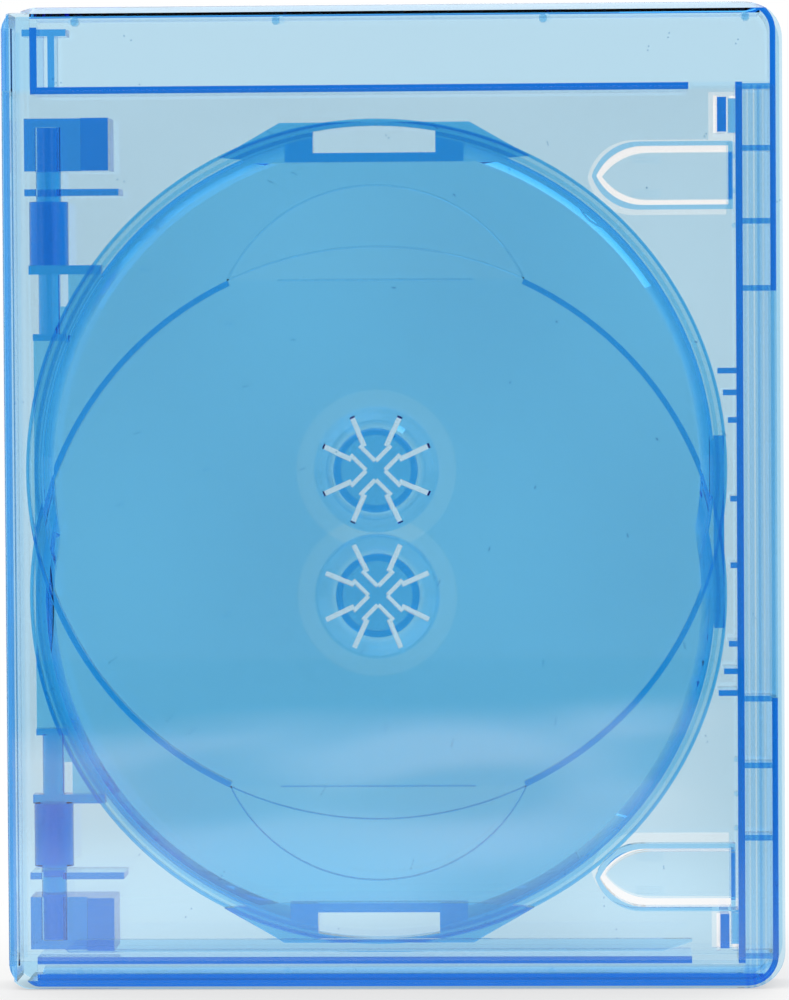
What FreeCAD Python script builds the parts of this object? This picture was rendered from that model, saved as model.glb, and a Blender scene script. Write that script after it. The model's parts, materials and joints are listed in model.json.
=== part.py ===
"""Optical disc case: a hinged keep case with a flip tray that holds two discs back to back.

Millimetres. The closed case stands upright on its bottom edge: +Z is up, the front faces -Y, the spine is
at -X and the opening edge at +X. The origin is under the middle of the case, on the surface it stands on.
"""

import FreeCAD, Part
import math
import os
import Sketcher

DOC = FreeCAD.newDocument("optical_disc_case")
SHEET = DOC.addObject("Spreadsheet::Sheet", "Sizes")


class Size:
    """A length with the sheet formula that gives it, so that features stay bound to the sheet."""

    def __init__(self, value, text):
        self.value = value
        self.text = text

    def __add__(self, other):
        other = as_size(other)
        return Size(self.value + other.value, f"({self.text} + {other.text})")

    def __sub__(self, other):
        other = as_size(other)
        return Size(self.value - other.value, f"({self.text} - {other.text})")

    def __mul__(self, other):
        other = as_size(other)
        return Size(self.value * other.value, f"({self.text} * {other.text})")

    def __truediv__(self, other):
        other = as_size(other)
        return Size(self.value / other.value, f"({self.text} / {other.text})")

    def __rsub__(self, other):
        return as_size(other) - self

    def __neg__(self):
        return Size(-self.value, f"(0 - {self.text})")

    __radd__ = __add__
    __rmul__ = __mul__


def as_size(number):
    return number if isinstance(number, Size) else Size(number, repr(number))


def root(size):
    return Size(math.sqrt(size.value), f"sqrt({size.text})")


def sine(degrees):
    return Size(math.sin(math.radians(degrees.value)), f"sin({degrees.text} * 1 deg)")


def cosine(degrees):
    return Size(math.cos(math.radians(degrees.value)), f"cos({degrees.text} * 1 deg)")


ROW = [0]


def size(alias, value):
    """One driving dimension: a cell of the sheet with a name."""
    ROW[0] += 1
    cell = f"B{ROW[0]}"
    SHEET.set(f"A{ROW[0]}", alias)
    SHEET.set(cell, str(value))
    SHEET.setAlias(cell, alias)
    return Size(value, f"Sizes.{alias}")


# Disc wells, which the case is built round
ring_radius = size("ring_radius", 61.25)
hub_offset = size("hub_offset", 11.1)
well_left = size("well_left", 3.4)
well_right = size("well_right", 9.6)
tray_low = size("tray_low", 1.45)
tray_high = size("tray_high", 4.55)

# The closed case
case_depth = size("case_depth", 15.0)
panel = size("panel", 0.9)
sleeve_recess = size("sleeve_recess", 0.4)
film = size("film", 0.15)
weld_width = size("weld_width", 1.2)
film_gap = size("film_gap", 0.1)
header_height = size("header_height", 14.8)
footer_height = size("footer_height", 4.8)
open_corner = size("open_corner", 6.5)
spine_corner = size("spine_corner", 4.0)

# Side walls of the covers
side_wall = size("side_wall", 1.0)
edge_lip = size("edge_lip", 1.1)
end_lip = size("end_lip", 0.3)
top_draft = size("top_draft", 1.5)
footer_draft = size("footer_draft", 1.2)
parting_gap = size("parting_gap", 0.3)
thumb_half = size("thumb_half", 35.4)
thumb_wall = size("thumb_wall", 2.4)
rim_start = size("rim_start", 1.5)

# Living hinges
bead_radius = size("bead_radius", 1.0)
hinge_gap = size("hinge_gap", 0.12)

# Inner frame of the back cover
frame_wall = size("frame_wall", 1.2)
frame_inset = size("frame_inset", 6.85)
frame_clearance = size("frame_clearance", 0.5)
spine_gap = size("spine_gap", 4.95)
latch_gap = size("latch_gap", 9.3)
rib = size("rib", 1.0)
rib_near = size("rib_near", 35.9)
rib_middle = size("rib_middle", 47.6)
rib_far = size("rib_far", 60.3)
guide_clearance = size("guide_clearance", 0.7)
guide_outer = size("guide_outer", 17.0)
guide_next = size("guide_next", 13.2)
guide_inner = size("guide_inner", 8.4)
guide_middle = size("guide_middle", 5.3)
strip_gap = size("strip_gap", 7.45)
post_drop = size("post_drop", 3.8)
nub_radius = size("nub_radius", 0.7)
nub_height = size("nub_height", 0.5)
nub_inset = size("nub_inset", 12.45)
nub_middle = size("nub_middle", 18.9)
nub_right = size("nub_right", 27.2)
nub_corner = size("nub_corner", 6.55)
nub_drop = size("nub_drop", 2.9)
stud_radius = size("stud_radius", 0.45)
stud_height = size("stud_height", 1.2)
stud_near = size("stud_near", 46.95)
stud_pitch = size("stud_pitch", 6.05)
bar_reach = size("bar_reach", 2.0)
ledge_start = size("ledge_start", 5.0)
ledge_height = size("ledge_height", 2.2)
ledge_rise = size("ledge_rise", 1.4)
ledge_lift = size("ledge_lift", 0.9)
ledge_taper = size("ledge_taper", 5.0)
ledge_tip = size("ledge_tip", 0.5)

# Booklet clips
clip_length = size("clip_length", 23.6)
clip_width = size("clip_width", 10.2)
clip_nose = size("clip_nose", 8.0)
clip_gap = size("clip_gap", 1.0)
clip_rim = size("clip_rim", 0.8)
clip_rim_rise = size("clip_rim_rise", 2.6)
clip_set_in = size("clip_set_in", 4.0)
clip_window = size("clip_window", 1.5)
clip_rib = size("clip_rib", 0.3)
clip_rib_rise = size("clip_rib_rise", 0.2)
clip_rib_start = size("clip_rib_start", 6.2)
clip_rib_length = size("clip_rib_length", 5.0)
clip_rib_pitch = size("clip_rib_pitch", 0.75)
clip_top = size("clip_top", 14.9)
clip_bottom = size("clip_bottom", 13.8)

# Latches at the two open corners
latch_width = size("latch_width", 4.4)
latch_height = size("latch_height", 8.8)
hook_width = size("hook_width", 1.6)
hook_height = size("hook_height", 6.0)
catch_width = size("catch_width", 1.1)
latch_clearance = size("latch_clearance", 0.5)
latch_slit = size("latch_slit", 0.65)
slit_over = size("slit_over", 0.25)

# Flip tray
pivot_inset = size("pivot_inset", 7.45)
tray_floor = size("tray_floor", 1.6)
ring_lip = size("ring_lip", 0.55)
ring_ledge = size("ring_ledge", 2.2)
ledge_plate = size("ledge_plate", 0.8)
ring_wall = size("ring_wall", 2.4)
ring_rise = size("ring_rise", 2.0)
lip_rise = size("lip_rise", 3.2)
ring_back = size("ring_back", 1.5)
ring_taper = size("ring_taper", 2.2)
lip_wall = size("lip_wall", 1.0)
scoop_angle = size("scoop_angle", 25.1)
scoop_sag = size("scoop_sag", 16.5)
scoop_depth = size("scoop_depth", 0.08)
scoop_step = size("scoop_step", 0.05)

# Finger notches and feet at both ends of the tray
notch_width = size("notch_width", 21.4)
notch_depth = size("notch_depth", 5.9)
notch_bridge = size("notch_bridge", 1.2)
notch_wall = size("notch_wall", 1.6)
notch_side = size("notch_side", 4.9)
notch_rise = size("notch_rise", 2.2)
foot_width = size("foot_width", 33.2)
foot_flare = size("foot_flare", 10.6)
foot_rise = size("foot_rise", 6.6)
grip_width = size("grip_width", 2.4)
grip_half = size("grip_half", 16.8)

# Disc hubs
hub_radius = size("hub_radius", 7.35)
hub_wall = size("hub_wall", 1.2)
hub_cap = size("hub_cap", 2.4)
hub_height = size("hub_height", 4.6)
hub_chamfer = size("hub_chamfer", 0.35)
hub_bevel = size("hub_bevel", 0.2)
seat_rise = size("seat_rise", 2.2)
seat_radius = size("seat_radius", 8.8)
dome_radius = size("dome_radius", 11.0)
dome_plate = size("dome_plate", 1.2)
dome_draft = size("dome_draft", 0.6)
dome_inner = size("dome_inner", 7.8)
pale_radius = size("pale_radius", 14.0)
pale_depth = size("pale_depth", 0.3)
finger_angle = size("finger_angle", 24.4)
finger_slot = size("finger_slot", 0.9)
finger_root = size("finger_root", 4.6)
slot_reach = size("slot_reach", 9.9)
arm_angle = size("arm_angle", 45.0)
arm_half = size("arm_half", 0.75)
arm_slot = size("arm_slot", 0.75)
arm_slot_start = size("arm_slot_start", 1.2)
arm_slot_end = size("arm_slot_end", 5.0)
tab_width = size("tab_width", 2.4)
tab_height = size("tab_height", 0.4)
tab_level = size("tab_level", 3.75)
tab_proud = size("tab_proud", 0.1)

# Tray hinge
pin_radius = size("pin_radius", 2.2)
pin_clearance = size("pin_clearance", 0.12)
barrel_radius = size("barrel_radius", 3.45)
neck_radius = size("neck_radius", 1.9)
pin_short = size("pin_short", 1.15)
pin_length = size("pin_length", 12.9)
barrel_length = size("barrel_length", 11.1)
flange = size("flange", 1.6)
neck_length = size("neck_length", 12.0)
leaf_reach = size("leaf_reach", 2.8)
arm_reach = size("arm_reach", 9.2)
slit_width = size("slit_width", 1.5)
slit_length = size("slit_length", 5.6)
socket_length = size("socket_length", 9.2)
socket_end_wall = size("socket_end_wall", 1.5)
socket_left = size("socket_left", 4.0)
socket_hollow = size("socket_hollow", 6.1)
socket_post = size("socket_post", 4.8)
socket_half_depth = size("socket_half_depth", 2.4)
collar = size("collar", 1.2)
collar_gap = size("collar_gap", 1.0)
collar_reach = size("collar_reach", 12.5)
snap_entry = size("snap_entry", 3.4)
DOC.recompute()

# Places worked out from those dimensions
half_tray = ring_radius + hub_offset
case_width = well_left + 2 * ring_radius + well_right
half_width = case_width / 2
half_depth = case_depth / 2
sleeve_low = footer_height
frame_bottom = sleeve_low + frame_wall / 2
tray_middle = frame_bottom + tray_low + half_tray
frame_top = tray_middle + half_tray + tray_high + frame_wall
sleeve_high = frame_top - frame_wall / 2
case_height = sleeve_high + header_height
panel_inside = half_depth - sleeve_recess - panel
film_seat = half_depth - film - film_gap
cap_inside = half_depth - panel
hinge_x = bead_radius - half_width
hinge_y = half_depth - bead_radius
middle_height = case_height / 2
wall_right = half_width - edge_lip
frame_right = half_width - frame_inset
frame_left = spine_gap - half_width
frame_front = frame_clearance - panel_inside
socket_front = frame_front + ledge_rise
clip_base = frame_right - frame_wall - latch_clearance
disc_x = well_left + ring_radius - half_width
pivot_x = pivot_inset - half_width
floor_half = tray_floor / 2
wall_out = ring_radius - ring_ledge
well_height = tray_middle + hub_offset
catch_left = frame_right - frame_wall - catch_width
pin_end = half_tray - pin_short
barrel_end = pin_end - pin_length
barrel_start = barrel_end - barrel_length
neck_start = barrel_start - neck_length
zero = as_size(0.0)

FACING = {"XY_Plane": 1, "XZ_Plane": -1, "YZ_Plane": 1}
BACK = 1
FRONT = -1
STUD_ROWS = 3


def origin_plane(body, role):
    return next(plane for plane in body.Origin.OriginFeatures if plane.Role == role)


def pin_point(sketch, curve, end, across, along):
    """Ties one point of a sketch to two sizes, measured from the sketch's origin."""
    for kind, length in (("DistanceX", across), ("DistanceY", along)):
        place = sketch.addConstraint(Sketcher.Constraint(kind, -1, 1, curve, end, length.value))
        sketch.setExpression(f"Constraints[{place}]", length.text)


def flat(across, along):
    return FreeCAD.Vector(across.value, along.value, 0)


def draw_path(sketch, segments):
    """Lines as (start, end) and arcs, counter-clockwise, as (start, end, centre, radius)."""
    for start, end, *bend in segments:
        if bend:
            centre = flat(*bend[0])
            angles = [math.atan2(*reversed((flat(*point) - centre)[:2])) for point in (start, end)]
            circle = Part.Circle(centre, FreeCAD.Vector(0, 0, 1), bend[1].value)
            curve = sketch.addGeometry(Part.ArcOfCircle(circle, *angles))
            pin_radius_of(sketch, curve, bend[1])
        else:
            curve = sketch.addGeometry(Part.LineSegment(flat(*start), flat(*end)))
        pin_point(sketch, curve, 1, *start)
        pin_point(sketch, curve, 2, *end)


def pin_radius_of(sketch, curve, radius):
    place = sketch.addConstraint(Sketcher.Constraint("Radius", curve, radius.value))
    sketch.setExpression(f"Constraints[{place}]", radius.text)


def draw_polygon(sketch, corners):
    draw_path(sketch, list(zip(corners, corners[1:] + corners[:1])))


def draw_circle(sketch, across, along, radius):
    circle = sketch.addGeometry(Part.Circle(flat(across, along), FreeCAD.Vector(0, 0, 1), radius.value))
    pin_point(sketch, circle, 3, across, along)
    pin_radius_of(sketch, circle, radius)


def draw_rounded(sketch, x, z, radii):
    """A rectangle with radii at bottom left, bottom right, top right and top left; None is square."""
    corners = [(x[0], z[0]), (x[1], z[0]), (x[1], z[1]), (x[0], z[1])]
    inward = [(1, 1), (-1, 1), (-1, -1), (1, -1)]
    entries, exits, arcs = [], [], []
    for index, (corner, way, radius) in enumerate(zip(corners, inward, radii)):
        if radius is None:
            entries.append(corner)
            exits.append(corner)
            continue
        across = (corner[0] + way[0] * radius, corner[1])
        upright = (corner[0], corner[1] + way[1] * radius)
        from_side = index % 2 == 0
        entries.append(upright if from_side else across)
        exits.append(across if from_side else upright)
        centre = (corner[0] + way[0] * radius, corner[1] + way[1] * radius)
        arcs.append((entries[-1], exits[-1], centre, radius))
    lines = list(zip(exits, entries[1:] + entries[:1]))
    draw_path(sketch, lines + arcs)


def draw_tongue(sketch, base, tip, nose, middle, half):
    """A tongue from its straight base to a nose of two arcs that meet at the tip."""
    shoulder = tip + nose
    bend = (nose * nose + half * half) / (2 * half)
    top = middle + half
    bottom = middle - half
    point = (tip, middle)
    draw_path(
        sketch,
        [
            ((base, bottom), (base, top)),
            ((base, top), (shoulder, top)),
            ((shoulder, bottom), (base, bottom)),
            ((shoulder, top), point, (shoulder, top - bend), bend),
            (point, (shoulder, bottom), (shoulder, bottom + bend), bend),
        ],
    )


def rectangle(x, z):
    return ("polygon", [(x[0], z[0]), (x[1], z[0]), (x[1], z[1]), (x[0], z[1])])


DRAW = {
    "polygon": draw_polygon,
    "path": draw_path,
    "circle": draw_circle,
    "rounded": draw_rounded,
    "tongue": draw_tongue,
}


def new_sketch(body, name, plane, offset, loops):
    sketch = body.newObject("Sketcher::SketchObject", name)
    sketch.AttachmentSupport = [(origin_plane(body, plane), "")]
    sketch.MapMode = "FlatFace"
    sketch.setExpression("AttachmentOffset.Base.z", offset.text)
    for kind, *shape in loops:
        DRAW[kind](sketch, *shape)
    return sketch


def extrude(body, kind, name, loops, start, end, plane="XZ_Plane"):
    """A Pad or Pocket of the loops from start to end, along Y for the XZ plane and along Z for XY."""
    feature_sketch = new_sketch(body, name + "_sketch", plane, start * FACING[plane], loops)
    feature = body.newObject("PartDesign::" + kind, name)
    feature.Profile = feature_sketch
    rising = end.value > start.value
    with_normal = rising == (FACING[plane] > 0)
    feature.Reversed = with_normal if kind == "Pocket" else not with_normal
    feature.setExpression("Length", (end - start if rising else start - end).text)
    return feature


def pad(body, name, loops, start, end, plane="XZ_Plane"):
    return extrude(body, "Pad", name, loops, start, end, plane)


def pocket(body, name, loops, start, end, plane="XZ_Plane"):
    return extrude(body, "Pocket", name, loops, start, end, plane)


def new_body(name):
    body = DOC.addObject("PartDesign::Body", name)
    body.Label = name
    return body


def turn_about_y(thing):
    thing.Placement = FreeCAD.Placement(FreeCAD.Vector(), FreeCAD.Rotation(FreeCAD.Vector(1, 0, 0), -90))


def bind_place(thing, x, y, z):
    for axis, length in zip("xyz", (x, y, z)):
        thing.setExpression(f"Placement.Base.{axis}", length.text)


def box(name, x, y, z):
    solid = DOC.addObject("Part::Box", name)
    for side, (low, high) in zip(("Length", "Width", "Height"), (x, y, z)):
        solid.setExpression(side, (high - low).text)
    bind_place(solid, x[0], y[0], z[0])
    return solid


def drum(name, x, z, radius, y):
    """A cylinder whose axis runs along Y."""
    solid = DOC.addObject("Part::Cylinder", name)
    turn_about_y(solid)
    solid.setExpression("Radius", radius.text)
    solid.setExpression("Height", (y[1] - y[0]).text)
    bind_place(solid, x, y[0], z)
    return solid


def post(name, x, y, radius, z):
    """A cylinder whose axis runs along Z."""
    solid = DOC.addObject("Part::Cylinder", name)
    solid.setExpression("Radius", radius.text)
    solid.setExpression("Height", (z[1] - z[0]).text)
    bind_place(solid, x, y, z[0])
    return solid


def fuse(name, shapes):
    joined = DOC.addObject("Part::MultiFuse", name)
    joined.Shapes = shapes
    joined.Refine = True
    return joined


def cut(name, base, tool):
    result = DOC.addObject("Part::Cut", name)
    result.Base = base
    result.Tool = tool
    result.Refine = True
    return result


def common(name, shapes):
    result = DOC.addObject("Part::MultiCommon", name)
    result.Shapes = shapes
    return result


def turned_over(name, shape):
    """A copy turned half a turn about the tray's own cross axis, as the tray's other side."""
    upside = DOC.addObject("Part::Mirroring", name + "_upside")
    upside.Source = shape
    upside.Normal = FreeCAD.Vector(0, 0, 1)
    upside.setExpression("Base.z", tray_middle.text)
    over = DOC.addObject("Part::Mirroring", name)
    over.Source = upside
    over.Normal = FreeCAD.Vector(0, 1, 0)
    return over


def cover_shell(body, side):
    """The panel, side walls, hinge bead, sleeve bed and booklet clips that both covers share."""
    outside = side * half_depth
    inside = side * panel_inside
    cap = side * cap_inside
    parting = side * parting_gap / 2
    panel_z = (zero, case_height - end_lip)
    outline = (spine_corner, open_corner, open_corner, spine_corner)
    pad(body, "panel", [("rounded", (-half_width, half_width), panel_z, outline)], outside, inside)
    hinge_edge = rectangle((-half_width - bead_radius, hinge_x), (-bead_radius, case_height))
    pocket(body, "hinge_edge", [hinge_edge], outside, inside)

    rim_radius = open_corner - edge_lip
    spine_radius = spine_corner - edge_lip
    wall_left = hinge_x + rim_start
    rim_z = (end_lip, case_height)
    rim_radii = (spine_radius, rim_radius, rim_radius, spine_radius)
    rim = ("rounded", (wall_left, wall_right), rim_z, rim_radii)
    pad(body, "rim", [rim], inside, parting)
    hollow_radius = rim_radius - side_wall
    hollow_x = (wall_left - side_wall, wall_right - side_wall)
    hollow_z = (rim_z[0] + side_wall, rim_z[1] - side_wall)
    hollow = ("rounded", hollow_x, hollow_z, (None, hollow_radius, hollow_radius, None))
    pocket(body, "hollow", [hollow], parting, inside)
    end_left = hinge_x + spine_corner
    header_z = (frame_top, hollow_z[1])
    header = ("rounded", (end_left, hollow_x[1]), header_z, (None, None, hollow_radius, None))
    footer = rectangle((end_left, frame_right), (hollow_z[0], frame_bottom - frame_wall))
    pocket(body, "header_hollow", [header], inside, cap)
    pocket(body, "footer_hollow", [footer], inside, cap)
    draft_end_walls(body, side, (end_left, wall_right - rim_radius / 2), hollow_z)

    thumb_z = (middle_height - thumb_half, middle_height + thumb_half)
    thumb_x = (hollow_x[1] - side_wall, half_width + side_wall)
    thumb_floor = side * (cap_inside - thumb_wall)
    pocket(body, "thumb_gap", [rectangle(thumb_x, thumb_z)], parting, thumb_floor)

    bead = [("circle", hinge_x, side * hinge_y, bead_radius)]
    pad(body, "hinge_bead", bead, spine_corner, case_height - spine_corner, plane="XY_Plane")

    bed_left = hinge_x - bead_radius
    film_bed = rectangle((bed_left, wall_right), (sleeve_low, sleeve_high))
    sleeve_bed = rectangle((bed_left, wall_right - weld_width), (sleeve_low + weld_width, sleeve_high))
    pocket(body, "film_bed", [film_bed], outside, side * film_seat)
    pocket(body, "sleeve_bed", [sleeve_bed], outside, side * (half_depth - sleeve_recess))
    booklet_clip(body, side, "top", frame_top - frame_wall - clip_top)
    booklet_clip(body, side, "bottom", frame_bottom + clip_bottom)


def draft_end_walls(body, side, across, hollow_z):
    """Slopes the top wall down towards the panel, outside and inside, and the inner face of the bottom wall."""
    parting = side * parting_gap / 2
    outside = side * half_depth
    cap = side * cap_inside
    slope = top_draft / (half_depth - parting_gap / 2)
    fall = slope * (cap_inside - parting_gap / 2)
    low, high = hollow_z
    inner_top = [(parting, high), (cap, high), (cap, high - fall)]
    inner_bottom = [(parting, low), (cap, low), (cap, low + footer_draft)]
    outer_top = [(parting, case_height), (outside, case_height), (outside, case_height - top_draft)]
    pad(body, "top_draft", [("polygon", inner_top)], *across, plane="YZ_Plane")
    pad(body, "footer_draft", [("polygon", inner_bottom)], *across, plane="YZ_Plane")
    pocket(body, "top_slope", [("polygon", outer_top)], -half_width, half_width, plane="YZ_Plane")


def booklet_clip(body, side, end, middle):
    """A spring tongue set in from its opening in the panel, on a riser at the opening's straight end.

    The opening has a raised rim in the front cover and is a wider plain window in the back cover.
    """
    inside = side * panel_inside
    rim_top = side * (panel_inside - clip_rim_rise)
    set_in = side * (panel_inside - clip_set_in)
    leaf_top = side * (panel_inside - clip_set_in - panel)
    base = clip_base - clip_rim
    tip = clip_base - clip_length
    half = clip_width / 2
    leaf_half = half - clip_gap
    if side == FRONT:
        rim = ("tongue", clip_base, tip - clip_rim, clip_nose, middle, half + clip_rim)
        pad(body, f"clip_rim_{end}", [rim], inside, rim_top)
        slot = ("tongue", base, tip, clip_nose, middle, half)
    else:
        slot = ("tongue", base, tip - clip_window, clip_nose, middle, half + clip_window)
    pocket(body, f"clip_slot_{end}", [slot], rim_top, side * half_depth)
    riser = rectangle((base, clip_base), (middle - leaf_half, middle + leaf_half))
    leaf = ("tongue", clip_base, tip + clip_gap, clip_nose, middle, leaf_half)
    pad(body, f"clip_riser_{end}", [riser], inside, leaf_top)
    pad(body, f"clip_tongue_{end}", [leaf], set_in, leaf_top)
    rib_x = (tip + clip_rib_start, tip + clip_rib_start + clip_rib_length)
    ribs = []
    for way in (1, -1):
        for step in (1, 2):
            line = middle + way * (leaf_half - step * clip_rib_pitch)
            ribs.append(rectangle(rib_x, (line - clip_rib / 2, line + clip_rib / 2)))
    pad(body, f"clip_ribs_{end}", ribs, set_in, set_in + side * clip_rib_rise)


def hook_spans():
    """The heights that the two latch hooks span, inside the frame's top and bottom walls."""
    slack = (latch_height - hook_height) / 2
    top = frame_top - frame_wall - slack
    bottom = frame_bottom + slack
    return [(top - hook_height, top), (bottom, bottom + hook_height)]


def front_cover():
    body = new_body("front_cover")
    cover_shell(body, FRONT)
    inside = -panel_inside
    cap = -cap_inside
    ledge_low = frame_bottom + ledge_lift
    ledge_x = (frame_left + ledge_start, frame_right - latch_gap)
    ledge_high = ledge_low + ledge_height
    ledge = [(ledge_x[0], ledge_low + ledge_tip), (ledge_x[0] + ledge_tip, ledge_low)]
    ledge += [(ledge_x[1] - ledge_taper, ledge_low), (ledge_x[1], ledge_high - ledge_tip)]
    ledge += [(ledge_x[1], ledge_high), (ledge_x[0] + ledge_height, ledge_high)]
    pad(body, "booklet_ledge", [("polygon", ledge)], inside, inside + ledge_rise)
    hook_right = catch_left - latch_clearance
    hook_left = hook_right - hook_width
    hooks = [rectangle((hook_left, hook_right), span) for span in hook_spans()]
    pad(body, "latch_hooks", hooks, inside, panel_inside - latch_clearance)
    slits = []
    for low, high in hook_spans():
        slit_z = (low - slit_over, high + slit_over)
        slits.append(rectangle((hook_left - latch_slit, hook_left), slit_z))
        slits.append(rectangle((catch_left, frame_right - frame_wall), slit_z))
    pocket(body, "latch_slits", slits, inside, -half_depth)
    rows = (case_height - nub_drop, nub_drop)
    places = (nub_inset - half_width, -nub_middle, nub_right, half_width - nub_corner)
    nubs = [("circle", x, z, nub_radius) for z in rows for x in places]
    pad(body, "nubs", nubs, cap, cap + nub_height)
    return body


def rim_edge(height, centre):
    """How far towards the opening edge a guide may reach beside the tray's rim."""
    reach = ring_radius + guide_clearance
    off = height - centre
    return disc_x + root(reach * reach - off * off)


def back_cover():
    body = new_body("back_cover")
    cover_shell(body, BACK)
    inside = panel_inside
    wall_x = (frame_right - frame_wall, frame_right)
    span_x = (frame_left, frame_right - latch_gap)
    top_z = (frame_top - frame_wall, frame_top)
    bottom_z = (frame_bottom - frame_wall, frame_bottom)
    pad(body, "frame_right", [rectangle(wall_x, (bottom_z[0], top_z[1]))], inside, frame_front)
    pad(body, "frame_top", [rectangle(span_x, top_z)], cap_inside, frame_front)
    pad(body, "frame_bottom", [rectangle(span_x, bottom_z)], inside, frame_front)
    post_top = case_height - post_drop
    header_post = rectangle((frame_left, frame_left + frame_wall), (top_z[0], post_top))
    pad(body, "header_post", [header_post], cap_inside, frame_front)
    strip_left = strip_gap - half_width
    header_strip = rectangle((strip_left, strip_left + frame_wall), (top_z[0], post_top - frame_wall))
    pad(body, "header_strip", [header_strip], cap_inside, zero)
    bar_x = (frame_left - bar_reach, strip_left + frame_wall + bar_reach)
    header_bar = rectangle(bar_x, (post_top - frame_wall, post_top))
    pad(body, "header_bar", [header_bar], cap_inside, zero)
    studs = []
    for row in range(STUD_ROWS):
        offset = stud_near + row * stud_pitch
        studs += [("circle", wall_x[0], middle_height + way * offset, stud_radius) for way in (1, -1)]
    pad(body, "wall_studs", studs, inside, inside - stud_height)

    channel_x = (wall_x[0], wall_right)
    rib_lows = [top_z[1] - rib, bottom_z[0]]
    for offset in (rib_near, rib_middle, rib_far):
        rib_lows += [middle_height + offset - rib / 2, middle_height - offset - rib / 2]
    ribs = [rectangle(channel_x, (low, low + rib)) for low in rib_lows]
    pad(body, "channel_ribs", ribs, inside, parting_gap / 2)

    guides = []
    for way in (1, -1):
        centre = tray_middle + way * hub_offset
        for offset in (guide_outer, guide_next, guide_inner, -guide_middle):
            height = centre + way * offset
            guide_x = (rim_edge(height, centre), frame_right)
            guides.append(rectangle(guide_x, (height - rib / 2, height + rib / 2)))
    pad(body, "rim_guides", guides, inside, -lip_rise)

    window_x = (wall_x[0] - latch_width, wall_x[0])
    windows = [(top_z[0] - latch_height, top_z[0]), (bottom_z[1], bottom_z[1] + latch_height)]
    pocket(body, "latch_windows", [rectangle(window_x, span) for span in windows], inside, half_depth)
    catches = [rectangle((catch_left, frame_right), span) for span in hook_spans()]
    pad(body, "latch_catches", catches, panel_inside - latch_clearance, zero)
    for end, way in (("top", 1), ("bottom", -1)):
        tray_socket(body, end, way)
    return body


def tray_socket(body, end, way):
    """The block and the collar that hold one pin of the tray, open towards the front to snap the pin in."""
    block_end = pin_end + pin_clearance + socket_end_wall
    block_start = block_end - socket_length
    collar_start = barrel_end + collar_gap
    left = pivot_x - socket_left
    middle = pivot_x + socket_hollow
    right = middle + socket_post
    front = -socket_half_depth
    inside = panel_inside

    def heights(low, high):
        near, far = tray_middle + way * low, tray_middle + way * high
        return (near, far) if way > 0 else (far, near)

    block_z = heights(block_start, block_end)
    pad(body, f"socket_{end}", [rectangle((left, middle), block_z)], inside, front)
    pad(body, f"socket_post_{end}", [rectangle((middle, right), block_z)], inside, socket_front)
    collar_z = heights(collar_start, collar_start + collar)
    collar_x = (left, pivot_x + collar_reach)
    pad(body, f"collar_{end}", [rectangle(collar_x, collar_z)], inside, front)
    bore_z = heights(collar_start, pin_end + pin_clearance)
    bore = [("circle", pivot_x, zero, pin_radius + pin_clearance)]
    pocket(body, f"bore_{end}", bore, *bore_z, plane="XY_Plane")
    entry_x = (pivot_x - snap_entry / 2, pivot_x + snap_entry / 2)
    pocket(body, f"entry_{end}", [rectangle(entry_x, bore_z)], front, zero)


def spine():
    body = new_body("spine")
    x_out = -half_width
    width = (-hinge_y, hinge_y)
    outline_x = (x_out, x_out + 2 * spine_corner)
    outline_z = (zero, case_height - end_lip)
    outline = ("rounded", outline_x, outline_z, (spine_corner, None, None, spine_corner))
    pad(body, "outline", [outline], *width)
    beyond = outline_x[1] + spine_corner
    beside = rectangle((x_out + sleeve_recess + panel, beyond), (-spine_corner, case_height + spine_corner))
    pocket(body, "beside_strip", [beside], *width)
    hollows = [("circle", hinge_x, side * hinge_y, bead_radius + hinge_gap) for side in (FRONT, BACK)]
    pocket(body, "hinge_hollows", hollows, zero, case_height, plane="XY_Plane")
    film_bed = rectangle((x_out, x_out + film + film_gap), width)
    sleeve_bed = rectangle((x_out, x_out + sleeve_recess), width)
    pocket(body, "film_bed", [film_bed], sleeve_low, sleeve_high, plane="XY_Plane")
    pocket(body, "sleeve_bed", [sleeve_bed], sleeve_low + weld_width, sleeve_high, plane="XY_Plane")
    return body


def sleeve_films():
    """The clear film over the two covers and the spine, flush with the header and welded at its edges."""
    cover_x = (hinge_x, wall_right - film_gap)
    skin = half_depth - film
    swing = bead_radius + hinge_gap
    level = bead_radius - film
    spine_edge = hinge_y - root(swing * swing - level * level)
    places = (
        ("sleeve_front", cover_x, (-half_depth, -skin)),
        ("sleeve_spine", (-half_width, film - half_width), (-spine_edge, spine_edge)),
        ("sleeve_back", cover_x, (skin, half_depth)),
    )
    films = []
    for name, x, y in places:
        sheet = box(name, x, y, (sleeve_low + film_gap, sleeve_high - film_gap))
        sheet.Label = name
        films.append(sheet)
    return films


def revolve(body, name, profile):
    """Turns a profile of (depth, radius) corners about the body's Y axis."""
    sketch = new_sketch(body, name + "_sketch", "YZ_Plane", zero, [("polygon", profile)])
    turned = body.newObject("PartDesign::Revolution", name)
    turned.Profile = sketch
    turned.ReferenceAxis = (sketch, ["H_Axis"])
    turned.Angle = 360
    return turned


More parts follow.
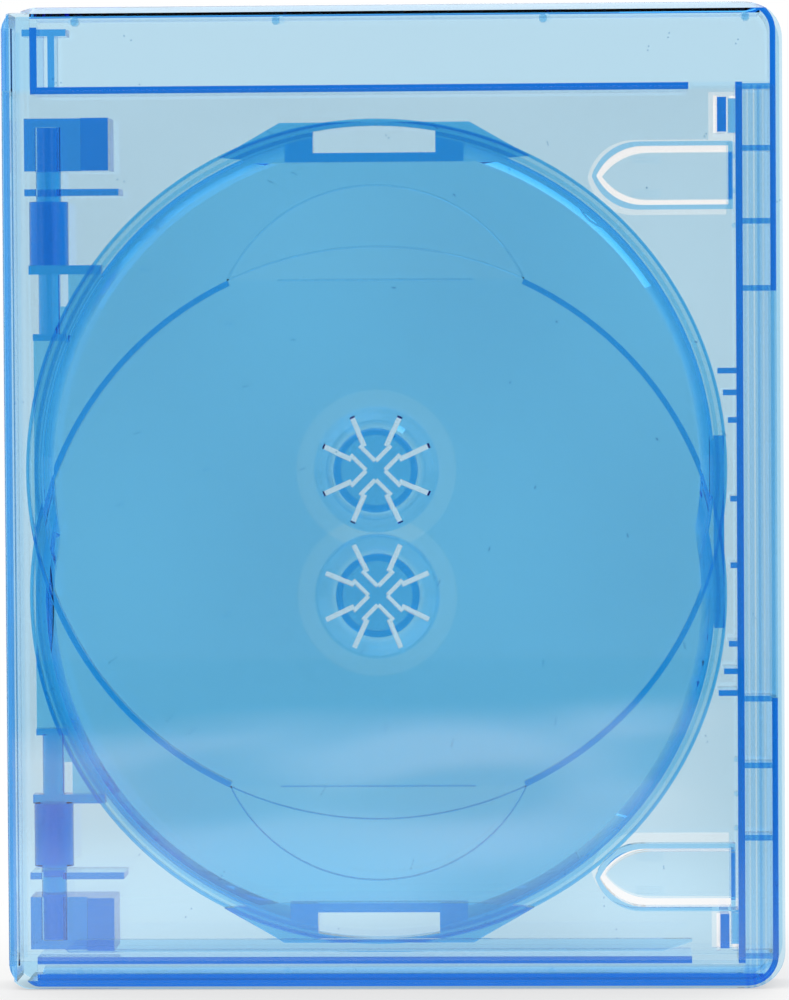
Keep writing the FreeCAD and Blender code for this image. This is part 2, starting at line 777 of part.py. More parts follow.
def well_rim():
    """The rim of one disc well: a sloped wall, a ledge under the disc's edge and a lip outside it."""
    body = new_body("well_rim")
    ledge_back = ledge_plate - ring_rise
    foot = wall_out - ring_wall
    profile = [
        (-lip_rise, ring_radius),
        (ledge_back, ring_radius),
        (ledge_back, wall_out),
        (ring_back, wall_out),
        (ring_back, wall_out - ledge_plate),
        (floor_half, foot),
        (-floor_half, foot),
        (-ring_rise, foot + ring_taper),
        (-ring_rise, ring_radius - ring_lip),
        (-lip_rise, ring_radius - ring_lip),
    ]
    revolve(body, "rim", profile)
    thin_overlap(body, foot)
    inner = foot - ring_lip
    outer = (ring_radius + ring_lip) / cosine(scoop_angle)
    corners = []
    for reach, way in ((inner, -1), (outer, -1), (outer, 1), (inner, 1)):
        corners.append((way * reach * sine(scoop_angle), -reach * cosine(scoop_angle)))
    gap = [("polygon", corners)]
    pocket(body, "scoop_gap", gap, -lip_rise - ring_lip, -floor_half)
    pocket(body, "scoop_gap_back", gap, ring_back + ring_lip, floor_half)
    bind_place(body, disc_x, zero, well_height)
    return body


def thin_overlap(body, limit):
    """Leaves only a thin lip of the rim where it crosses the other well, whose floor reaches to the limit."""
    step = 2 * hub_offset
    centre = (zero, zero)
    bound = ring_radius - lip_wall

    def crossing(radius):
        low = (radius * radius - limit * limit + step * step) / (2 * step)
        return root(radius * radius - low * low), -low

    far_x, far_z = crossing(ring_radius)
    near_x, near_z = crossing(bound)
    near_arc = ((-near_x, near_z), (near_x, near_z), centre, bound)
    far_arc = ((-far_x, far_z), (far_x, far_z), centre, ring_radius)
    closing = [((-far_x, far_z), (-near_x, near_z)), ((near_x, near_z), (far_x, far_z))]
    overlap = [("path", [near_arc, ((near_x, near_z), (-near_x, near_z), (zero, -step), limit)])]
    pocket(body, "overlap", overlap, -lip_rise - ring_lip, -floor_half)
    pocket(body, "overlap_back", overlap, ring_back + ring_lip, floor_half)
    pad(body, "thin_lip", [("path", [far_arc, near_arc, *closing])], -lip_rise, zero)


def quarter_turns(corners):
    """The same loop at each quarter turn about the hub's axis."""
    loops = []
    for _ in range(4):
        loops.append(("polygon", corners))
        corners = [(-along, across) for across, along in corners]
    return loops


def slot_corners(angle, side_step, width, start, end):
    """A straight slot along a direction given from the upward axis, stepped sideways off the centre."""
    corners = []
    for reach, edge in ((start, -1), (end, -1), (end, 1), (start, 1)):
        off = side_step + edge * width / 2
        across = reach * sine(angle) + off * cosine(angle)
        along = reach * cosine(angle) - off * sine(angle)
        corners.append((across, along))
    return corners


def disc_hub():
    """A domed seat with a hub of four spring fingers between four fixed walls and a crossed bridge."""
    body = new_body("disc_hub")
    inside = hub_radius - hub_wall
    seat_back = dome_plate - seat_rise
    profile = [
        (floor_half, dome_radius),
        (-floor_half, dome_radius),
        (-seat_rise, seat_radius),
        (-seat_rise, hub_radius),
        (hub_bevel - hub_height, hub_radius),
        (-hub_height, hub_radius - hub_chamfer),
        (-hub_height, zero),
        (hub_cap - hub_height, zero),
        (hub_cap - hub_height, inside),
        (seat_back, inside),
        (seat_back, dome_inner),
        (floor_half, dome_radius - dome_draft),
    ]
    revolve(body, "dome", profile)
    tab_reach = (hub_radius - hub_chamfer, hub_radius + tab_proud)
    tab = [(-tab_width / 2, tab_reach[0]), (tab_width / 2, tab_reach[0])]
    tab += [(tab_width / 2, tab_reach[1]), (-tab_width / 2, tab_reach[1])]
    pad(body, "finger_tabs", quarter_turns(tab), -tab_level, -tab_level - tab_height)
    front = -hub_height - hub_chamfer
    back = floor_half
    for name, way in (("left", -1), ("right", 1)):
        radial = slot_corners(way * finger_angle, zero, finger_slot, finger_root, slot_reach)
        pocket(body, f"finger_slots_{name}", quarter_turns(radial), front, back)
        step = way * (arm_half + arm_slot / 2)
        beside = slot_corners(arm_angle, step, arm_slot, arm_slot_start, arm_slot_end)
        pocket(body, f"arm_slots_{name}", quarter_turns(beside), front, back)
    bind_place(body, disc_x, zero, well_height)
    return body


def tray_floor_plate():
    """The floor that both wells share, with the straight hinge side and grip side, holed under the hubs."""
    depth = (-floor_half, floor_half)
    other = tray_middle - hub_offset
    hinge_side = box(
        "hinge_side",
        (pivot_x - leaf_reach, pivot_x + arm_reach),
        depth,
        (tray_middle - neck_start, tray_middle + neck_start),
    )
    grip_side = box(
        "grip_side",
        (disc_x + ring_radius - grip_width, disc_x + ring_radius - ring_lip),
        (-ring_rise, ring_rise),
        (tray_middle - grip_half, tray_middle + grip_half),
    )
    discs = [drum(f"floor_{k}", disc_x, z, wall_out, depth) for k, z in enumerate((well_height, other))]
    plate = fuse("floor_plate", discs + [hinge_side, grip_side])
    hole_radius = dome_radius - dome_draft / 2
    holes = [drum(f"hub_hole_{k}", disc_x, z, hole_radius, depth) for k, z in enumerate((well_height, other))]
    pale = drum("pale_seat", disc_x, well_height, pale_radius, (-tray_floor, pale_depth - floor_half))
    recesses = [pale, turned_over("pale_seat_back", pale)]
    return cut("holed_floor", plate, fuse("floor_cuts", holes + recesses))


def scoop_recess():
    """A shallow hollow below the rim's gap, where a finger gets under the disc's edge."""
    half_chord = ring_radius * sine(scoop_angle)
    chord = well_height - ring_radius * cosine(scoop_angle)
    centre = chord - scoop_sag + scoop_radius(half_chord)
    depth = (-tray_floor, scoop_depth - floor_half)
    step = (-tray_floor, scoop_depth + scoop_step - floor_half)
    across = (disc_x - half_chord, disc_x + half_chord)
    round_hollow = drum("scoop_round", disc_x, centre, scoop_radius(half_chord), depth)
    below = box("scoop_below", across, depth, (zero, chord))
    segment = drum("segment_round", disc_x, well_height, ring_radius, step)
    segment_below = box("segment_below", across, step, (zero, chord))
    hollows = [common("scoop_hollow", [round_hollow, below]), common("scoop_segment", [segment, segment_below])]
    return fuse("scoop", hollows)


def scoop_radius(half_chord):
    return (half_chord * half_chord + scoop_sag * scoop_sag) / (2 * scoop_sag)


def notch_frame():
    """The thick walls round one finger notch, inside the well's rim."""
    half = notch_width / 2 + notch_side
    low = well_height + ring_radius - notch_depth - notch_wall
    block = box(
        "notch_block",
        (disc_x - half, disc_x + half),
        (-notch_rise, notch_rise),
        (low, well_height + ring_radius),
    )
    limit = drum("notch_limit", disc_x, well_height, wall_out, (-notch_rise, notch_rise))
    return common("notch_frame", [block, limit])


def notch_opening():
    """The finger notch itself, closed at its outer end by a thin bridge of the rim."""
    depth = (-lip_rise - ring_lip, lip_rise + ring_lip)
    low = well_height + ring_radius - notch_depth
    across = (disc_x - notch_width / 2, disc_x + notch_width / 2)
    block = box("notch_box", across, depth, (low, well_height + ring_radius))
    limit = drum("notch_arc", disc_x, well_height, ring_radius - notch_bridge, depth)
    return common("notch_opening", [block, limit])


def tray_foot():
    """The flared end of the tray beside one finger notch."""
    body = new_body("tray_foot")
    top = well_height + ring_radius
    low = top - foot_rise
    inner = top - notch_depth - notch_wall
    half = foot_width / 2
    wide = half + foot_flare
    corners = [(disc_x - wide, low), (disc_x - half, top - ring_lip), (disc_x + half, top - ring_lip)]
    corners += [(disc_x + wide, low), (disc_x + half, inner), (disc_x - half, inner)]
    pad(body, "foot", [("polygon", corners)], -floor_half, ring_back)
    return body


def tray_arm():
    """One hinge arm of the tray: collar, neck, flange, barrel and pin, with the web that carries them."""

    def span(low, high):
        return (tray_middle + low, tray_middle + high)

    shoulder = barrel_start - flange
    web_x = (pivot_x, pivot_x + arm_reach)
    depth = (-floor_half, floor_half)
    collar_x = (pivot_x - leaf_reach, pivot_x + leaf_reach)
    flange_x = (pivot_x - barrel_radius, pivot_x + arm_reach)
    pieces = [
        post("arm_pin", pivot_x, zero, pin_radius, span(barrel_start, pin_end)),
        post("arm_barrel", pivot_x, zero, barrel_radius, span(barrel_start, barrel_end)),
        post("arm_neck", pivot_x, zero, neck_radius, span(neck_start - collar, barrel_start)),
        box("arm_web", web_x, depth, span(neck_start - collar, barrel_start)),
        box("arm_flange", flange_x, (-neck_radius, neck_radius), span(shoulder, barrel_start)),
        box("arm_collar", collar_x, (-neck_radius, neck_radius), span(neck_start - collar, neck_start)),
    ]
    slit_x = (pivot_x + neck_radius, pivot_x + neck_radius + slit_width)
    through = (-barrel_radius, barrel_radius)
    slit = box("arm_slit", slit_x, through, span(shoulder - slit_length, shoulder))
    return cut("tray_arm", fuse("arm_pieces", pieces), slit)


def disc_tray():
    sides = []
    for shape in (well_rim(), disc_hub(), notch_frame(), tray_foot(), tray_arm()):
        sides += [shape, turned_over(shape.Label + "_back", shape)]
    whole = fuse("tray_whole", [tray_floor_plate()] + sides)
    cuts = []
    for shape in (notch_opening(), scoop_recess()):
        cuts += [shape, turned_over(shape.Label + "_back", shape)]
    tray = cut("tray_cut", whole, fuse("tray_cuts", cuts))
    tray.Label = "disc_tray"
    return tray


def finish(parts):
    """Checks every object and writes each part's solid to its own file."""
    DOC.recompute()
    failed = [thing.Name for thing in DOC.Objects if {"Invalid", "Error"} & set(thing.State)]
    if failed:
        raise RuntimeError(f"failed objects: {failed}")
    for part in parts:
        if part.Shape.isNull() or not part.Shape.isValid():
            raise RuntimeError(f"bad shape: {part.Label}")
    os.makedirs("parts", exist_ok=True)
    for part in parts:
        part.Shape.exportStep(f"parts/{part.Label}.step")
        print(part.Label, len(part.Shape.Solids), round(part.Shape.Volume, 1))


finish([front_cover(), back_cover(), spine(), disc_tray(), *sleeve_films()])
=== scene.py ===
"""Looks of an optical disc case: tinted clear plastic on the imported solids, with floor, light and camera.

Metres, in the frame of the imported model: +Z up, front cover at -Y, spine at -X, opening edge at +X.
"""

import json
import math

import bmesh
import bpy
from mathutils import Matrix, Vector


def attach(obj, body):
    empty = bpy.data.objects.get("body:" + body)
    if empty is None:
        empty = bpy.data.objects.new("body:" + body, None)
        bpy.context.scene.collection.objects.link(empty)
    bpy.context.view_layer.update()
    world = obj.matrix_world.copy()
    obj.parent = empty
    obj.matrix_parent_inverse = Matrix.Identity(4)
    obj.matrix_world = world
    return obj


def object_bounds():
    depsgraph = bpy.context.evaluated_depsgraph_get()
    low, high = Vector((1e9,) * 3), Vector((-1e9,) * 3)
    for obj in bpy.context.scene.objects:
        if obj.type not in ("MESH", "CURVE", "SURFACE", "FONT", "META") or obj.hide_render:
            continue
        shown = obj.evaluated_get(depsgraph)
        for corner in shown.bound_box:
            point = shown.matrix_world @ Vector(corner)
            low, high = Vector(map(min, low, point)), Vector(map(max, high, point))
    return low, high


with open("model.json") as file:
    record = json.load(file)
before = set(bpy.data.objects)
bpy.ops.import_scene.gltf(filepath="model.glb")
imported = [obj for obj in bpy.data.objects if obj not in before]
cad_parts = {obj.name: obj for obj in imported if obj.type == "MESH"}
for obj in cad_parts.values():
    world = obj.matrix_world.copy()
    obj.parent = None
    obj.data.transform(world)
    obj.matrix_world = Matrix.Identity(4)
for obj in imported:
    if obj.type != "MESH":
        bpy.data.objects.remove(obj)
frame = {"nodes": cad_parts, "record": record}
CAD_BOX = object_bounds()
MM = 0.001
SCENE = bpy.context.scene
MIDDLE = (Vector(CAD_BOX[0]) + Vector(CAD_BOX[1])) / 2
MOUNTS = {mount["name"]: Vector(mount["pos_m"]) for mount in frame["record"]["mounts"]}
FRONT_HUB = MOUNTS["hub_front"]
BACK_HUB = MOUNTS["hub_back"]


class Wire:
    """An output of a shader tree. Arithmetic on it adds Math nodes: | is the larger, & the smaller."""

    def __init__(self, maker, socket):
        self.maker = maker
        self.socket = socket

    def maths(self, operation, first, second):
        return self.maker.node("Math", {"operation": operation}, {0: first, 1: second})

    def __add__(self, other):
        return self.maths("ADD", self, other)

    def __sub__(self, other):
        return self.maths("SUBTRACT", self, other)

    def __rsub__(self, other):
        return self.maths("SUBTRACT", other, self)

    def __mul__(self, other):
        return self.maths("MULTIPLY", self, other)

    def __pow__(self, other):
        return self.maths("POWER", self, other)

    def __or__(self, other):
        return self.maths("MAXIMUM", self, other)

    def __and__(self, other):
        return self.maths("MINIMUM", self, other)

    __radd__ = __add__
    __rmul__ = __mul__


class Maker:
    """A node tree, with one method that adds any node to it."""

    def __init__(self, tree):
        self.tree = tree
        self.split = None
        self.sheet = None
        tree.nodes.clear()

    def node(self, kind, settings=None, inputs=None, output=0):
        """Adds a node of that kind, sets it, fills or links its inputs and gives one of its outputs."""
        made = self.tree.nodes.new("ShaderNode" + kind)
        for name, value in (settings or {}).items():
            setattr(made, name, value)
        for name, value in (inputs or {}).items():
            if isinstance(value, Wire):
                self.tree.links.new(value.socket, made.inputs[name])
            else:
                made.inputs[name].default_value = value
        return Wire(self, made.outputs[output]) if made.outputs else None

    def blend(self, factor, first, second):
        """A mix of two colours."""
        return self.node("Mix", {"data_type": "RGBA"}, {0: factor, 6: first, 7: second}, 2)

    def smooth(self, value, low, high):
        """0 up to low, 1 from high on, and smooth between."""
        return self.node("MapRange", {"interpolation_type": "SMOOTHSTEP"}, {0: value, 1: low, 2: high})

    def between(self, value, low, high, soft):
        """1 between low and high, less towards both within soft, and 0 outside."""
        return self.smooth(value, low, low + soft) * (1.0 - self.smooth(value, high - soft, high))

    def place(self):
        """The object's own coordinates in metres."""
        return self.node("TexCoord", output="Object")

    def axis(self, letter):
        """One of the object's own coordinates. All three come from one node."""
        if not self.split:
            self.split = self.node("SeparateXYZ", {}, {0: self.place()}).socket.node
        return Wire(self, self.split.outputs[letter])

    def flat(self):
        """The object's own coordinates across and up, as one vector."""
        if not self.sheet:
            self.sheet = self.node("CombineXYZ", {}, {"X": self.axis("X"), "Y": self.axis("Z")})
        return self.sheet

    def noise(self, scale):
        """Soft noise from 0 to 1."""
        return self.node("TexNoise", {}, {"Vector": self.place(), "Scale": scale, "Detail": 0.0})

    def lines(self, value, scale):
        """Soft noise from 0 to 1 along one value."""
        return self.node("TexNoise", {"noise_dimensions": "1D"}, {"W": value, "Scale": scale, "Detail": 0.0})

    def wave(self, value):
        """The sine of a value."""
        return self.node("Math", {"operation": "SINE"}, {0: value})

    def path(self, ray):
        """What the light path says of a ray: 1 or 0 for its kind, or a count."""
        return self.node("LightPath", output=ray)

    def seen(self):
        """1 for rays that come from the camera, also by way of a mirror or clear plastic, else 0."""
        return self.path("Is Camera Ray") | self.path("Is Glossy Ray") | self.path("Is Transmission Ray")

    def mirrored_once(self):
        """1 for rays that were mirrored once on their way, else 0."""
        times = self.path("Glossy Depth")
        return ((2.0 - times) & times) | 0.0


def new_material(name):
    """An empty material and the maker of its nodes."""
    material = bpy.data.materials.new(name)
    material.use_nodes = True
    return material, Maker(material.node_tree)


def grey(value):
    """A colour without hue."""
    return (value, value, value, 1.0)


# Clear plastic, with specks, with marks of its mould, and with painted shade beside the walls of one channel
PLASTIC_IOR = 1.49
# How far from white the absorption's colour goes in the channel that it takes most of
DEEPEST = 0.92
SPECK_SCALE = 55.0
SPECK_RADIUS = 0.22 * MM
SPECK_COLOUR = (0.66, 0.76, 0.86, 1.0)
CHANNEL = (60.9 * MM, 65.6 * MM)
CHANNEL_SOFT = 0.5 * MM
# How far from each wall the channel takes the full tint, as painted shade
WALL_SHADE_WIDTH = 1.3 * MM
CHANNEL_TOP = 157.0 * MM
STREAK_SCALE = 900.0
STREAK_LEVELS = (0.46, 0.66)
# The tint of the channel's drawn marks and of its painted shade beside the walls
STREAK_AND_SHADE_COLOUR = (0.60, 0.82, 0.985, 1.0)
WELL_RADIUS = 61.25 * MM
LEDGE = 2.2 * MM
LEDGE_EDGE = 0.3 * MM
LEDGE_LINES = 1500.0
LEDGE_LINE_LEVELS = (0.35, 0.60)
LEDGE_COLOUR = (0.60, 0.86, 0.97, 1.0)


def specks(make):
    """1 inside small specks scattered over the plastic, else 0."""
    inputs = {"Vector": make.flat(), "Scale": SPECK_SCALE}
    distance = make.node("TexVoronoi", {"voronoi_dimensions": "2D"}, inputs)
    edge = SPECK_RADIUS * SPECK_SCALE
    return 1.0 - make.smooth(distance, edge / 2, edge)


def streaks_and_wall_shade(make):
    """Drawn marks along the narrow channel at the opening edge, and painted shade: the full tint all along
    beside its two walls.
    """
    across = make.axis("X")
    inside = make.between(across, *CHANNEL, CHANNEL_SOFT)
    middle = make.between(across, *CHANNEL, WALL_SHADE_WIDTH)
    drawn = make.smooth(make.lines(across, STREAK_SCALE), *STREAK_LEVELS)
    below = 1.0 - make.smooth(make.axis("Z"), CHANNEL_TOP - CHANNEL_SOFT, CHANNEL_TOP)
    # 1 - middle is the painted shade beside the walls; drawn gives the marks between them
    return below * inside * (drawn | (1.0 - middle))


def from_axis(make, hub):
    """The distance from a hub's axis."""
    centre = (hub.x, hub.z, 0.0)
    return make.node("VectorMath", {"operation": "DISTANCE"}, {0: make.flat(), 1: centre}, "Value")


def ledge_lines(make):
    """Turned marks on the ledge round each well, as far as the other well's edge."""
    bands = []
    radii = [from_axis(make, FRONT_HUB), from_axis(make, BACK_HUB)]
    for radius, other in (radii, radii[::-1]):
        ledge = make.between(radius, WELL_RADIUS - LEDGE - LEDGE_EDGE, WELL_RADIUS, LEDGE_EDGE)
        apart = make.smooth(other, WELL_RADIUS - LEDGE_EDGE, WELL_RADIUS)
        turned = make.smooth(make.lines(radius, LEDGE_LINES), *LEDGE_LINE_LEVELS)
        bands.append(ledge * apart * turned)
    return bands[0] | bands[1]


def clear_surface(make, tint, shadow):
    """Smooth clear plastic of that tint. Lamps shine through it, dimmed to the colour shadow."""
    looks = {"Base Color": tint, "Roughness": 0.0, "IOR": PLASTIC_IOR, "Transmission Weight": 1.0}
    body = make.node("BsdfPrincipled", {}, looks)
    open_to_lamps = make.node("BsdfTransparent", {}, {"Color": (*shadow, 1.0)})
    return make.node("MixShader", {}, {0: make.path("Is Shadow Ray"), 1: body, 2: open_to_lamps})


def clear_plastic(name, absorbed, shadow, marks=None, mark_colour=None):
    """Clear moulded plastic. absorbed is what a millimetre takes of red, green and blue, as exponents."""
    material, make = new_material(name)
    tint = make.blend(specks(make), grey(1.0), SPECK_COLOUR)
    # marks can hold painted shade as well, as the cover's channel does beside its walls
    if marks:
        tint = make.blend(marks(make), tint, mark_colour)
    strongest = max(absorbed)
    kept = [1.0 - share / strongest * DEEPEST for share in absorbed]
    density = strongest / MM / DEEPEST
    volume = make.node("VolumeAbsorption", {}, {"Color": (*kept, 1.0), "Density": density})
    make.node("OutputMaterial", {}, {"Surface": clear_surface(make, tint, shadow), "Volume": volume})
    return material


# Clear film
FILM_GLOSS = 0.045
FILM_UNEVEN = 0.3
FILM_WAVES = (95.0, 63.0)
EVEN_FACING = 0.5
SCHLICK_POWER = 5.0


def clear_film(name):
    """A thin film that only mirrors, unevenly and more so the flatter one looks along it."""
    material, make = new_material(name)
    facing = make.node("LayerWeight", {}, {"Blend": EVEN_FACING}, "Facing")
    waves = make.wave(make.axis("X") * FILM_WAVES[0]) * make.wave(make.axis("Z") * FILM_WAVES[1])
    gloss = FILM_GLOSS * (1.0 + FILM_UNEVEN * waves)
    looks = {
        "Base Color": grey(1.0),
        "Metallic": 1.0,
        "Roughness": 0.0,
        "Alpha": gloss + (1.0 - gloss) * facing ** SCHLICK_POWER,
    }
    make.node("OutputMaterial", {}, {"Surface": make.node("BsdfPrincipled", {}, looks)})
    return material


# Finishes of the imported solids
COVER_ABSORBED = (0.33, 0.116, 0.02)
COVER_SHADOW = (0.86, 0.90, 0.93)
SPINE_ABSORBED = (0.13, 0.05, 0.005)
TRAY_ABSORBED = (0.78, 0.212, 0.03)
TRAY_SHADOW = (0.72, 0.83, 0.91)
# The cover's channel is tinted with drawn marks and with painted shade beside its walls
cover_finish = clear_plastic("cover_plastic", COVER_ABSORBED, COVER_SHADOW, streaks_and_wall_shade, STREAK_AND_SHADE_COLOUR)
spine_finish = clear_plastic("spine_plastic", SPINE_ABSORBED, COVER_SHADOW)
tray_finish = clear_plastic("tray_plastic", TRAY_ABSORBED, TRAY_SHADOW, ledge_lines, LEDGE_COLOUR)
film_finish = clear_film("sleeve_film")
FINISHES = {
    "front_cover": cover_finish,
    "back_cover": cover_finish,
    "spine": spine_finish,
    "disc_tray": tray_finish,
    "sleeve_front": film_finish,
    "sleeve_spine": film_finish,
    "sleeve_back": film_finish,
}
for node, finish in FINISHES.items():
    slots = frame["nodes"][node].data.materials
    slots.clear()
    slots.append(finish)


def add_piece(name, mesh, finish, body):
    """Makes a piece of a finished mesh, on that body and with that material slot."""
    bmesh.ops.recalc_face_normals(mesh, faces=mesh.faces)
    data = bpy.data.meshes.new(name)
    mesh.to_mesh(data)
    mesh.free()
    data.materials.append(finish)
    piece = bpy.data.objects.new(name, data)
    SCENE.collection.objects.link(piece)
    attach(piece, body)


# Four small pips inside the front panel, under its top edge
PANEL_INSIDE = 6.19 * MM
PIP_SIZE = (1.3 * MM, 2.6 * MM, 1.5 * MM)
PIP_BEVEL = 0.25 * MM
PIP_BEVEL_STEPS = 2
PIP_HEIGHT = 168.6 * MM
PIP_MIDDLE = 3.3 * MM
PIP_SPREADS = (-58.2 * MM, -23.2 * MM, 23.2 * MM, 58.2 * MM)


def header_pips():
    """The pips as one piece, seated on the panel's inner face."""
    mesh = bmesh.new()
    for spread in PIP_SPREADS:
        centre = Matrix.Translation((PIP_MIDDLE + spread, PIP_SIZE[1] / 2 - PANEL_INSIDE, PIP_HEIGHT))
        bmesh.ops.create_cube(mesh, size=1.0, matrix=centre @ Matrix.Diagonal((*PIP_SIZE, 1.0)))
    bmesh.ops.bevel(mesh, geom=mesh.edges, offset=PIP_BEVEL, segments=PIP_BEVEL_STEPS, affect="EDGES")
    add_piece("header_pips", mesh, cover_finish, "front")


header_pips()

# Fine raised edges round the thumb scoop of each well, on the tray's floor, tinted with painted shade: deep
# at the front, faint at the back
FLOOR_FACE = 0.8 * MM
EDGE_SEAT = 0.01 * MM
EDGE_WIDTH = 0.32 * MM
EDGE_RISE = 0.12 * MM
EDGE_SIDES = 6
EDGE_STEPS = 72
# Painted shade of the fine edges: deep tints for the front edges, faint ones for the back edges
EDGE_SHADE_TINT = (0.42, 0.72, 0.93, 1.0)
EDGE_SHADE_PALE = (0.62, 0.84, 0.96, 1.0)
SOFT_SHADE_TINT = (0.78, 0.91, 0.97, 1.0)
SOFT_SHADE_PALE = (0.92, 0.97, 0.99, 1.0)
EDGE_PATCHES = 120.0
CHORD_DROP = 55.47 * MM
HALF_CHORD = 25.98 * MM
CHORD_SHOWN = 0.66
SCOOP_LIFT = 12.2 * MM


def edge_shade_plastic(name, deep, pale):
    """The tray's plastic on a fine edge, tinted in patches between deep and pale as painted shade for the
    darker look of the edge.
    """
    material, make = new_material(name)
    tint = make.blend(make.noise(EDGE_PATCHES), deep, pale)
    make.node("OutputMaterial", {}, {"Surface": clear_surface(make, tint, TRAY_SHADOW)})
    return material


def low_arc(centre, radius):
    """Points, across and up, on the part of a circle below the scoop's chord."""
    half_turn = math.asin(HALF_CHORD / radius)
    angles = [half_turn * (2.0 * step / EDGE_STEPS - 1.0) for step in range(EDGE_STEPS + 1)]
    return [Vector((radius * math.sin(angle), centre - radius * math.cos(angle))) for angle in angles]


def add_edge(mesh, points, place):
    """A low round edge along points, closed at its ends. place puts a foot and a rise on the tray."""
    rings = []
    for k, point in enumerate(points):
        along = (points[min(k + 1, len(points) - 1)] - points[max(k - 1, 0)]).normalized()
        aside = Vector((-along.y, along.x))
        ring = []
        for side in range(EDGE_SIDES + 1):
            angle = math.pi * side / EDGE_SIDES
            foot = point + aside * (EDGE_WIDTH / 2 * math.cos(angle))
            ring.append(mesh.verts.new(place(foot, EDGE_RISE * math.sin(angle))))
        rings.append(ring)
    around = EDGE_SIDES + 1
    for near, far in zip(rings, rings[1:]):
        for side in range(around):
            beside = (side + 1) % around
            mesh.faces.new((near[side], near[beside], far[beside], far[side]))
    mesh.faces.new(rings[0])
    mesh.faces.new(rings[-1])


def scoop_edges(name, hub, facing, finish):
    """The edges of one side: facing is -1 at the front and 1 at the back, which is turned over."""

    def place(foot, rise):
        depth = FLOOR_FACE + EDGE_SEAT + rise
        return (hub.x + foot.x, facing * depth, hub.z - facing * foot.y)

    chord = HALF_CHORD * CHORD_SHOWN
    paths = [
        low_arc(0.0, WELL_RADIUS),
        low_arc(SCOOP_LIFT - CHORD_DROP, math.hypot(HALF_CHORD, SCOOP_LIFT)),
        [Vector((-chord, -CHORD_DROP)), Vector((chord, -CHORD_DROP))],
    ]
    mesh = bmesh.new()
    for points in paths:
        add_edge(mesh, points, place)
    add_piece(name, mesh, finish, "tray")


# Two copies of the tray's plastic, with strong and with faint painted shade
sharp_edge = edge_shade_plastic("sharp_edge_plastic", EDGE_SHADE_TINT, EDGE_SHADE_PALE)
soft_edge = edge_shade_plastic("soft_edge_plastic", SOFT_SHADE_TINT, SOFT_SHADE_PALE)
scoop_edges("front_scoop_edges", FRONT_HUB, -1, sharp_edge)
scoop_edges("back_scoop_edges", BACK_HUB, 1, soft_edge)

# Floor: white, with the shadow of the case. What the front of the case mirrors of it is a painted
# reflection: dark, with a warm, cloudy haze
FLOOR_FRONT = -0.88
FLOOR_BACK = 3.0
FLOOR_HALF = 3.0
FLOOR_DROP = 0.2 * MM
FLOOR_WHITE = 0.85
FLOOR_GLOW = 0.5
SHADOW_REACH = (0.05, 0.15)
AHEAD = (-0.05, 0.1)
WARM_REACH = (-0.35, -0.15)
WARM_REFLECTION_COLOUR = (1.0, 0.66, 0.50, 1.0)
HAZE_LEVEL = 0.85
HAZE_EDGE = (-0.70, -0.54)
HAZE_SLANT = 0.76
HAZE_RIGHT = (0.04, 0.085)
HAZE_WAVE = 0.10
HAZE_WAVE_SCALE = 9.0
NOISE_MIDDLE = 0.5
CLOUD_SCALE = 11.0
CLOUD_STRETCH = 0.3
CLOUD_DETAIL = 1.0
CLOUD_LEVELS = (0.40, 0.58)
CLOUD_THIN = 0.45


def painted_reflection_haze(make):
    """The painted reflection: how bright the floor is in the mirror of the case, clouds behind a slanted
    edge, not at the right.
    """
    across = make.axis("X")
    ahead = make.axis("Y")
    wave = (make.noise(HAZE_WAVE_SCALE) - NOISE_MIDDLE) * HAZE_WAVE
    edge = make.smooth(ahead + across * HAZE_SLANT + wave, *HAZE_EDGE)
    left = 1.0 - make.smooth(across, *HAZE_RIGHT)
    drift = make.node("CombineXYZ", {}, {"X": across, "Y": ahead * CLOUD_STRETCH})
    inputs = {"Vector": drift, "Scale": CLOUD_SCALE, "Detail": CLOUD_DETAIL}
    cloud = make.smooth(make.node("TexNoise", {"noise_dimensions": "2D"}, inputs), *CLOUD_LEVELS)
    return HAZE_LEVEL * edge * left * (CLOUD_THIN + (1.0 - CLOUD_THIN) * cloud)


def floor_white():
    """White to the eye, matt near the case where its shadow falls, and painted with a hazy reflection where
    the case mirrors it.
    """
    material, make = new_material("floor_white")
    matt = make.node("BsdfDiffuse", {}, {"Color": grey(FLOOR_WHITE)})
    ahead = make.axis("Y")
    # Rays mirrored once by the case see a painted reflection here instead of the white floor
    mirrored = make.mirrored_once() * (1.0 - make.smooth(ahead, *AHEAD))
    warm = mirrored * (1.0 - make.smooth(ahead, *WARM_REACH))
    level = 1.0 - mirrored * (1.0 - painted_reflection_haze(make))
    colour = make.blend(level, grey(0.0), make.blend(warm, grey(1.0), WARM_REFLECTION_COLOUR))
    glow = make.node("Emission", {}, {"Color": colour, "Strength": 1.0})
    away = make.node("VectorMath", {"operation": "LENGTH"}, {0: make.place()}, "Value")
    glowing = make.seen() * (FLOOR_GLOW + (1.0 - FLOOR_GLOW) * make.smooth(away, *SHADOW_REACH))
    surface = make.node("MixShader", {}, {0: glowing, 1: matt, 2: glow})
    make.node("OutputMaterial", {}, {"Surface": surface})
    return material


corners = [(-FLOOR_HALF, FLOOR_FRONT), (FLOOR_HALF, FLOOR_FRONT)]
corners += [(FLOOR_HALF, FLOOR_BACK), (-FLOOR_HALF, FLOOR_BACK)]
floor_mesh = bpy.data.meshes.new("floor")
floor_mesh.from_pydata([(x, y, -FLOOR_DROP) for x, y in corners], [], [(0, 1, 2, 3)])
floor_mesh.materials.append(floor_white())
floor = bpy.data.objects.new("floor", floor_mesh)
SCENE.collection.objects.link(floor)

# World: white all round, but for a dark card round the camera that the front of the case mirrors
CARD = 0.06
CARD_EDGE = (-0.965, -0.80)
AMBIENT = 0.9


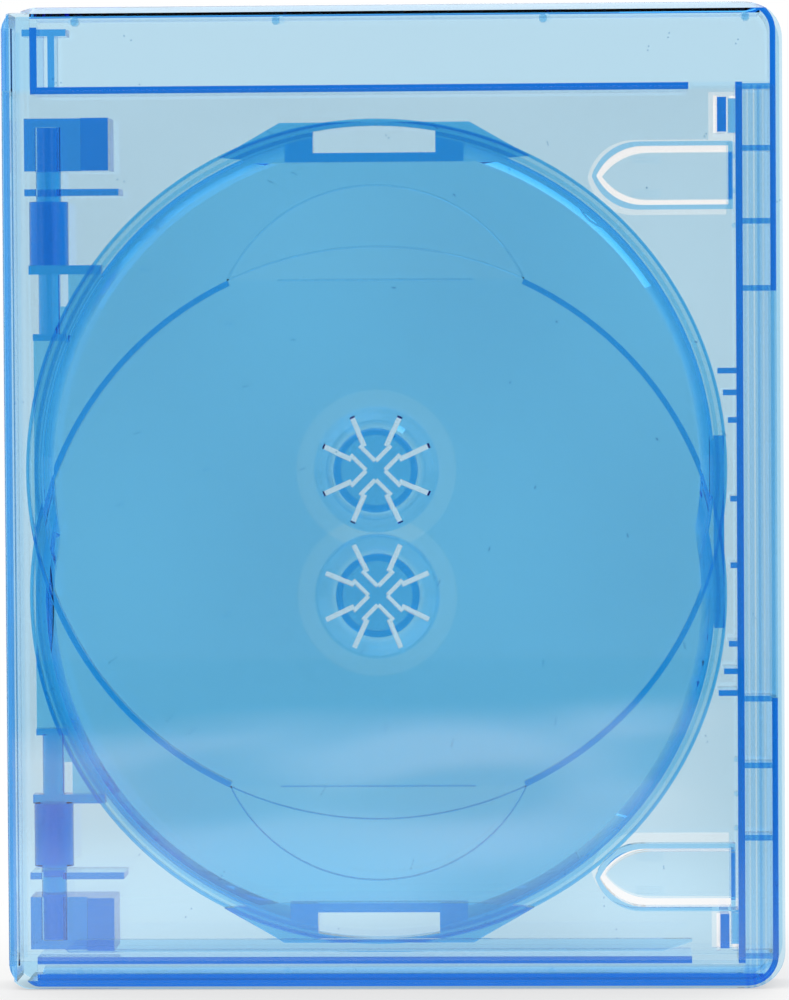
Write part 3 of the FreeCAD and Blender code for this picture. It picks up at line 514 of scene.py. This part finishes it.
def studio():
    """The world, a little dimmer as light than it looks."""
    world = bpy.data.worlds.new("studio")
    world.use_nodes = True
    make = Maker(world.node_tree)
    direction = make.node("TexCoord", output="Generated")
    card = 1.0 - make.smooth(make.node("SeparateXYZ", {}, {0: direction}, "Y"), *CARD_EDGE)
    look = 1.0 - make.mirrored_once() * card * (1.0 - CARD)
    level = AMBIENT + make.seen() * (look - AMBIENT)
    sky = make.node("Background", {}, {"Color": grey(1.0), "Strength": level})
    make.node("OutputWorld", {}, {"Surface": sky})
    return world


SCENE.world = studio()

# Two softboxes
SOFTBOX = 2.0
KEY_PLACE = (-0.9, -1.1, 1.5)
KEY_POWER = 14.0
BACK_PLACE = (0.8, 1.2, 1.5)
BACK_POWER = 8.0


def softbox(name, place, power):
    """A square lamp that points at the middle of the case."""
    lamp = bpy.data.lights.new(name, "AREA")
    lamp.shape = "SQUARE"
    lamp.size = SOFTBOX
    lamp.energy = power
    holder = bpy.data.objects.new(name, lamp)
    holder.location = place
    holder.rotation_euler = (MIDDLE - Vector(place)).to_track_quat("-Z", "Y").to_euler()
    SCENE.collection.objects.link(holder)


softbox("key", KEY_PLACE, KEY_POWER)
softbox("back", BACK_PLACE, BACK_POWER)

# Camera
VIEW_DISTANCE = 0.9
VIEW_YAW = math.radians(2.2)
VIEW_PITCH = math.radians(2.0)
VIEW_ROLL = math.radians(-0.37)
FRAME_HEIGHT = 0.1752
AIM_DROP = 0.0008
SENSOR = 36.0
FAR_CLIP = 20.0
lens = bpy.data.cameras.new("camera")
lens.sensor_fit = "VERTICAL"
lens.sensor_height = SENSOR
lens.lens = SENSOR * VIEW_DISTANCE / FRAME_HEIGHT
lens.clip_end = FAR_CLIP
camera = bpy.data.objects.new("camera", lens)
level = math.cos(VIEW_PITCH)
toward = Vector((math.sin(VIEW_YAW) * level, -math.cos(VIEW_YAW) * level, math.sin(VIEW_PITCH)))
aim = MIDDLE - Vector((0, 0, AIM_DROP))
turn = (-toward).to_track_quat("-Z", "Y").to_matrix() @ Matrix.Rotation(VIEW_ROLL, 3, "Z")
camera.matrix_world = Matrix.Translation(aim + toward * VIEW_DISTANCE) @ turn.to_4x4()
SCENE.collection.objects.link(camera)
SCENE.camera = camera

# Light passes many thin walls
BOUNCES = 40
GLOSSY_BOUNCES = 32
SCENE.cycles.max_bounces = BOUNCES
SCENE.cycles.transmission_bounces = BOUNCES
SCENE.cycles.transparent_max_bounces = BOUNCES
SCENE.cycles.glossy_bounces = GLOSSY_BOUNCES
SCENE.cycles.caustics_reflective = False
SCENE.cycles.caustics_refractive = False
SCENE.view_settings.view_transform = "Standard"
